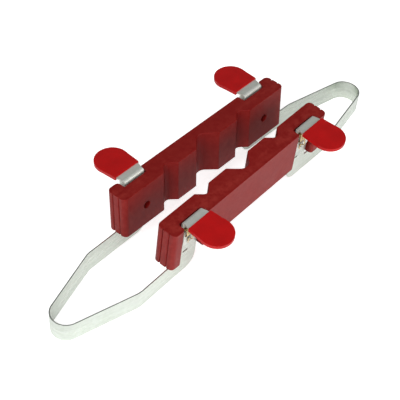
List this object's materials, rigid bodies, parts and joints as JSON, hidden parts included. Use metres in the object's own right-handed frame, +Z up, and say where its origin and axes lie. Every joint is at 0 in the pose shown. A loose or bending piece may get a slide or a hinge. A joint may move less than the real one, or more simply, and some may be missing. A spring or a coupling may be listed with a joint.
{
  "type": "frame grip",
  "caption": "Pair of notched soft jaws for a bench vice, held apart by spring-steel loops, with sprung finger levers that rest on the vice jaws.",
  "frame": {"origin": "on the bench, under the middle of the object", "axes": "+X along the jaws, +Y from the front jaw to the rear jaw, +Z up out of the vice"},
  "size_m": [0.3, 0.11, 0.0547],
  "materials": {
    "red_nylon": "satin",
    "red_vinyl": "soft gloss",
    "spring_steel": "bright",
    "zinc_steel": "zinc plated",
    "brass": "bright"
  },
  "bodies": {
    "rear_jaw": {"rear_jaw_block": "red_nylon", "left_spring_loop": "spring_steel", "right_spring_loop": "spring_steel", "rear_left_hinge_pin": "zinc_steel", "rear_left_hinge_bracket": "zinc_steel", "rear_left_fixing_screw": "zinc_steel", "rear_left_threaded_insert": "brass", "rear_left_torsion_spring": "brass", "rear_right_hinge_pin": "zinc_steel", "rear_right_hinge_bracket": "zinc_steel", "rear_right_fixing_screw": "zinc_steel", "rear_right_threaded_insert": "brass", "rear_right_torsion_spring": "brass"},
    "front_jaw": {"front_jaw_block": "red_nylon", "front_left_hinge_pin": "zinc_steel", "front_left_hinge_bracket": "zinc_steel", "front_left_fixing_screw": "zinc_steel", "front_left_threaded_insert": "brass", "front_left_torsion_spring": "brass", "front_right_hinge_pin": "zinc_steel", "front_right_hinge_bracket": "zinc_steel", "front_right_fixing_screw": "zinc_steel", "front_right_threaded_insert": "brass", "front_right_torsion_spring": "brass"},
    "rear_left_finger": {"rear_left_finger_lever": "zinc_steel", "rear_left_finger_grip": "red_vinyl"},
    "rear_right_finger": {"rear_right_finger_lever": "zinc_steel", "rear_right_finger_grip": "red_vinyl"},
    "front_left_finger": {"front_left_finger_lever": "zinc_steel", "front_left_finger_grip": "red_vinyl"},
    "front_right_finger": {"front_right_finger_lever": "zinc_steel", "front_right_finger_grip": "red_vinyl"}
  },
  "joints": [
    {"name": "jaw_slide", "type": "slide", "parent": "rear_jaw", "child": "front_jaw", "axis": [0, 1, 0], "range_m": [0, 0.0177], "stiffness_N_per_m": 770, "deforming": ["left_spring_loop", "right_spring_loop"]},
    {"name": "rear_left_finger_hinge", "type": "hinge", "parent": "rear_jaw", "child": "rear_left_finger", "pos_m": [-0.05635, 0.02564, 0.04466], "axis": [-0.9999, 0.0166, 0], "range_deg": [0, 75], "stiffness_Nm_per_rad": 0.02, "springref_deg": -34.38, "deforming": ["rear_left_torsion_spring"]},
    {"name": "rear_right_finger_hinge", "type": "hinge", "parent": "rear_jaw", "child": "rear_right_finger", "pos_m": [0.05683, 0.02376, 0.04466], "axis": [-0.9999, 0.0166, 0], "range_deg": [0, 75], "stiffness_Nm_per_rad": 0.02, "springref_deg": -34.38, "deforming": ["rear_right_torsion_spring"]},
    {"name": "front_left_finger_hinge", "type": "hinge", "parent": "front_jaw", "child": "front_left_finger", "pos_m": [-0.05635, -0.02564, 0.04466], "axis": [0.9999, 0.0166, 0], "range_deg": [0, 75], "stiffness_Nm_per_rad": 0.02, "springref_deg": -34.38, "deforming": ["front_left_torsion_spring"]},
    {"name": "front_right_finger_hinge", "type": "hinge", "parent": "front_jaw", "child": "front_right_finger", "pos_m": [0.05683, -0.02376, 0.04466], "axis": [0.9999, 0.0166, 0], "range_deg": [0, 75], "stiffness_Nm_per_rad": 0.02, "springref_deg": -34.38, "deforming": ["front_right_torsion_spring"]}
  ]
}
